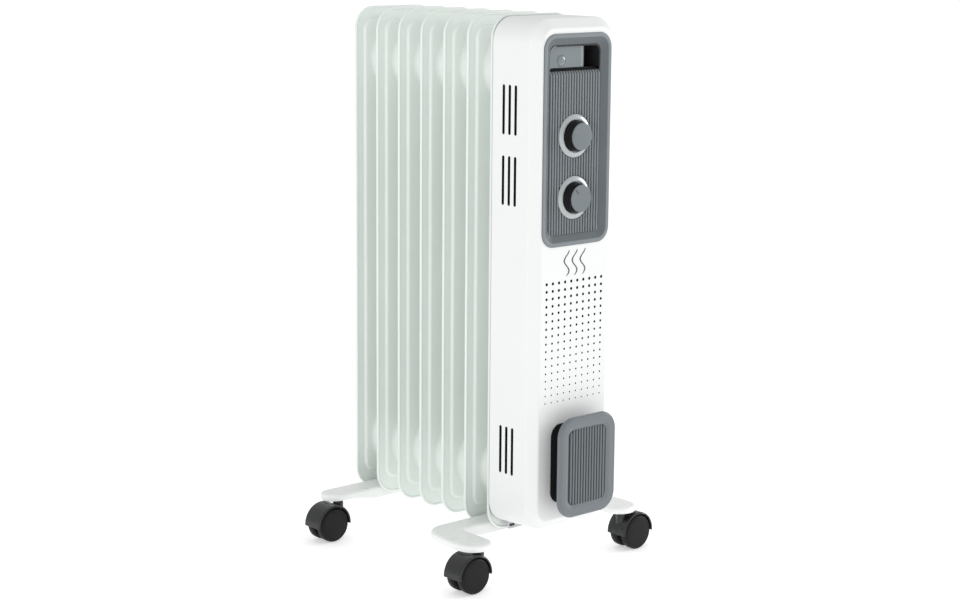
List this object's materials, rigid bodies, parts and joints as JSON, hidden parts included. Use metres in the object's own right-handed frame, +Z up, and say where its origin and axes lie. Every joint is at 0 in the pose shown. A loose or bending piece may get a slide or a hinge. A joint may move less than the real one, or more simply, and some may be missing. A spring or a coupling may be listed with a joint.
{
  "type": "oil filled radiator heater",
  "caption": "Freestanding oil filled column heater with pressed steel fins, a white control housing with dials and a cord wrap, on twin-wheel castors.",
  "frame": {"origin": "centre of the bounding box in X and Y, on the floor under the castor wheels", "axes": "+Z up, -Y towards the control housing, +X the object's right seen from behind it looking along +Y"},
  "size_m": [0.2978, 0.342, 0.616],
  "materials": {
    "enamel": "satin enamel",
    "plated_steel": "zinc plated",
    "black_screws": "black oxide",
    "white_moulding": "satin",
    "grey_moulding": "fine matt",
    "light_grey_moulding": "satin",
    "silver_moulding": "silver-grey satin",
    "lens": "clear grey",
    "lamp_glass": "clear",
    "black_moulding": "satin",
    "wire_cover": "matt",
    "dark_print": "matt",
    "white_steel": "satin enamel",
    "tread": "satin"
  },
  "bodies": {
    "heater": {"fin_1": "enamel", "fin_2": "enamel", "fin_3": "enamel", "fin_4": "enamel", "fin_5": "enamel", "fin_6": "enamel", "fin_7": "enamel", "drums_upper": "enamel", "drums_lower": "enamel", "rear_caps": "enamel", "heating_element": "plated_steel", "filler_plug": "plated_steel", "back_plate": "plated_steel", "standoffs": "plated_steel", "lower_bracket": "plated_steel", "bracket_screws": "black_screws", "housing": "white_moulding", "bezel": "grey_moulding", "ribbed_insert": "grey_moulding", "grip_cup": "black_moulding", "indicator_block": "light_grey_moulding", "pilot_lens": "lens", "pilot_lamp": "lamp_glass", "dial_rings": "silver_moulding", "thermostat": "black_moulding", "selector_switch": "black_moulding", "thermal_cutout": "plated_steel", "terminal_block": "white_moulding", "wiring": "wire_cover", "heat_mark": "dark_print", "wrap_hub": "black_moulding", "wrap_plate": "grey_moulding", "wrap_screws": "plated_steel", "cord_gland": "black_moulding", "foot_front": "white_steel", "foot_rear": "white_steel", "foot_studs": "plated_steel", "wing_nuts": "plated_steel", "stem_sockets": "black_moulding"},
    "thermostat_dial": {"thermostat_knob": "black_moulding", "thermostat_face": "silver_moulding", "thermostat_shaft": "plated_steel"},
    "selector_dial": {"selector_knob": "black_moulding", "selector_face": "silver_moulding", "selector_shaft": "plated_steel"},
    "swivel_fl": {"castor_fl": "black_moulding"},
    "roller_fl_a": {"wheel_fl_a": "tread"},
    "roller_fl_b": {"wheel_fl_b": "tread"},
    "swivel_fr": {"castor_fr": "black_moulding"},
    "roller_fr_a": {"wheel_fr_a": "tread"},
    "roller_fr_b": {"wheel_fr_b": "tread"},
    "swivel_rl": {"castor_rl": "black_moulding"},
    "roller_rl_a": {"wheel_rl_a": "tread"},
    "roller_rl_b": {"wheel_rl_b": "tread"},
    "swivel_rr": {"castor_rr": "black_moulding"},
    "roller_rr_a": {"wheel_rr_a": "tread"},
    "roller_rr_b": {"wheel_rr_b": "tread"}
  },
  "joints": [
    {"name": "thermostat_turn", "type": "hinge", "parent": "heater", "child": "thermostat_dial", "pos_m": [0, -0.1489, 0.4887], "axis": [0, -1, 0], "range_deg": [-180, 90]},
    {"name": "selector_turn", "type": "hinge", "parent": "heater", "child": "selector_dial", "pos_m": [0, -0.1489, 0.4222], "axis": [0, -1, 0], "range_deg": [-135, 0]},
    {"name": "swivel_fl_turn", "type": "hinge", "parent": "heater", "child": "swivel_fl", "pos_m": [-0.1102, -0.1164, 0.048], "axis": [0, 0, 1], "continuous": true},
    {"name": "roll_fl_a", "type": "hinge", "parent": "swivel_fl", "child": "roller_fl_a", "pos_m": [-0.1252, -0.12485, 0.02], "axis": [0, 1, 0], "continuous": true},
    {"name": "roll_fl_b", "type": "hinge", "parent": "swivel_fl", "child": "roller_fl_b", "pos_m": [-0.1252, -0.10795, 0.02], "axis": [0, 1, 0], "continuous": true},
    {"name": "swivel_fr_turn", "type": "hinge", "parent": "heater", "child": "swivel_fr", "pos_m": [0.1102, -0.1164, 0.048], "axis": [0, 0, 1], "continuous": true},
    {"name": "roll_fr_a", "type": "hinge", "parent": "swivel_fr", "child": "roller_fr_a", "pos_m": [0.1252, -0.12485, 0.02], "axis": [0, 1, 0], "continuous": true},
    {"name": "roll_fr_b", "type": "hinge", "parent": "swivel_fr", "child": "roller_fr_b", "pos_m": [0.1252, -0.10795, 0.02], "axis": [0, 1, 0], "continuous": true},
    {"name": "swivel_rl_turn", "type": "hinge", "parent": "heater", "child": "swivel_rl", "pos_m": [-0.1102, 0.1313, 0.048], "axis": [0, 0, 1], "continuous": true},
    {"name": "roll_rl_a", "type": "hinge", "parent": "swivel_rl", "child": "roller_rl_a", "pos_m": [-0.1252, 0.12285, 0.02], "axis": [0, 1, 0], "continuous": true},
    {"name": "roll_rl_b", "type": "hinge", "parent": "swivel_rl", "child": "roller_rl_b", "pos_m": [-0.1252, 0.13975, 0.02], "axis": [0, 1, 0], "continuous": true},
    {"name": "swivel_rr_turn", "type": "hinge", "parent": "heater", "child": "swivel_rr", "pos_m": [0.1102, 0.1313, 0.048], "axis": [0, 0, 1], "continuous": true},
    {"name": "roll_rr_a", "type": "hinge", "parent": "swivel_rr", "child": "roller_rr_a", "pos_m": [0.1252, 0.12285, 0.02], "axis": [0, 1, 0], "continuous": true},
    {"name": "roll_rr_b", "type": "hinge", "parent": "swivel_rr", "child": "roller_rr_b", "pos_m": [0.1252, 0.13975, 0.02], "axis": [0, 1, 0], "continuous": true}
  ]
}
